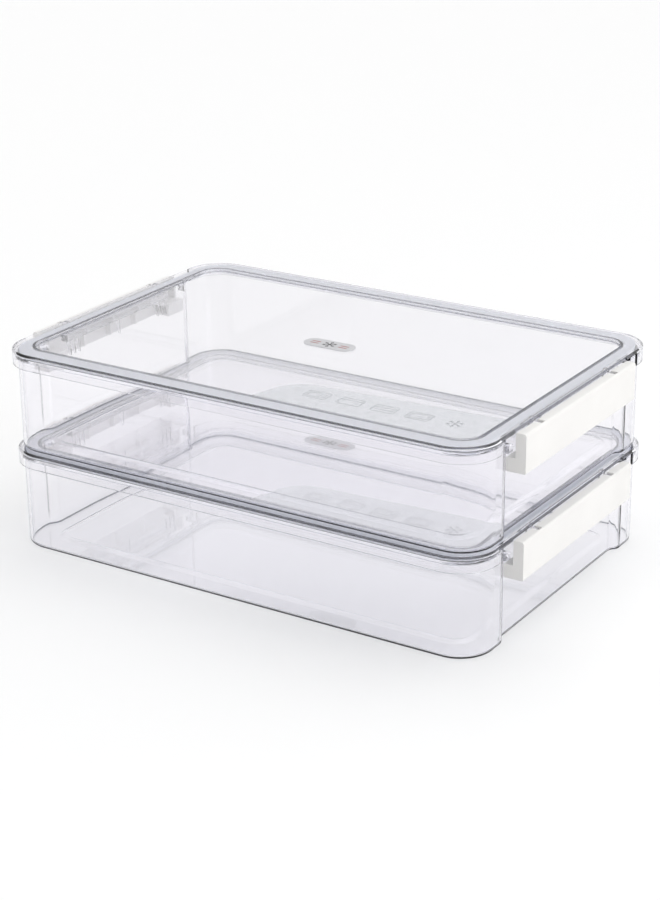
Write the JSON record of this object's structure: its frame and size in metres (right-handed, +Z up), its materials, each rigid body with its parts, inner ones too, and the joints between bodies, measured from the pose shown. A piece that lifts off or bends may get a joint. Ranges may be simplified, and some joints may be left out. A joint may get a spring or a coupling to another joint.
{
  "type": "fridge bin",
  "caption": "Stack of shallow clear food bins with sunk-panel lids and full-height white end latches hinged to each lid.",
  "frame": {"origin": "middle of the underside of the lower bin, on the surface it stands on", "axes": "+X along the long side towards the right latches, +Y away from the front, +Z up"},
  "size_m": [0.3858, 0.25, 0.143],
  "materials": {
    "clear_plastic": "clear, glossy, faint blue edge tint",
    "white_plastic": "opaque white, satin",
    "silicone": "translucent soft silicone",
    "badge_film": "silver-grey film"
  },
  "bodies": {
    "lower_bin_body": {"lower_bin": "clear_plastic"},
    "lower_lid_body": {"lower_lid": "clear_plastic", "lower_seal": "silicone", "lower_label": "badge_film"},
    "lower_latch_right_body": {"lower_latch_right": "white_plastic"},
    "lower_latch_left_body": {"lower_latch_left": "white_plastic"},
    "upper_bin_body": {"upper_bin": "clear_plastic"},
    "upper_lid_body": {"upper_lid": "clear_plastic", "upper_seal": "silicone", "upper_label": "badge_film"},
    "upper_latch_right_body": {"upper_latch_right": "white_plastic"},
    "upper_latch_left_body": {"upper_latch_left": "white_plastic"}
  },
  "joints": [
    {"name": "lower_lid_lift", "type": "slide", "parent": "lower_bin_body", "child": "lower_lid_body", "axis": [0, 0, 1], "range_m": [0, 0.04]},
    {"name": "lower_latch_right_hinge", "type": "hinge", "parent": "lower_lid_body", "child": "lower_latch_right_body", "pos_m": [0.1887, 0, 0.066], "axis": [0, -1, 0], "range_deg": [0, 90]},
    {"name": "lower_latch_left_hinge", "type": "hinge", "parent": "lower_lid_body", "child": "lower_latch_left_body", "pos_m": [-0.1887, 0, 0.066], "axis": [0, 1, 0], "range_deg": [0, 90]},
    {"name": "upper_bin_lift", "type": "slide", "parent": "lower_lid_body", "child": "upper_bin_body", "axis": [0, 0, 1], "range_m": [0, 0.04]},
    {"name": "upper_lid_lift", "type": "slide", "parent": "upper_bin_body", "child": "upper_lid_body", "axis": [0, 0, 1], "range_m": [0, 0.04]},
    {"name": "upper_latch_right_hinge", "type": "hinge", "parent": "upper_lid_body", "child": "upper_latch_right_body", "pos_m": [0.1887, 0, 0.1375], "axis": [0, -1, 0], "range_deg": [0, 90]},
    {"name": "upper_latch_left_hinge", "type": "hinge", "parent": "upper_lid_body", "child": "upper_latch_left_body", "pos_m": [-0.1887, 0, 0.1375], "axis": [0, 1, 0], "range_deg": [0, 90]}
  ]
}
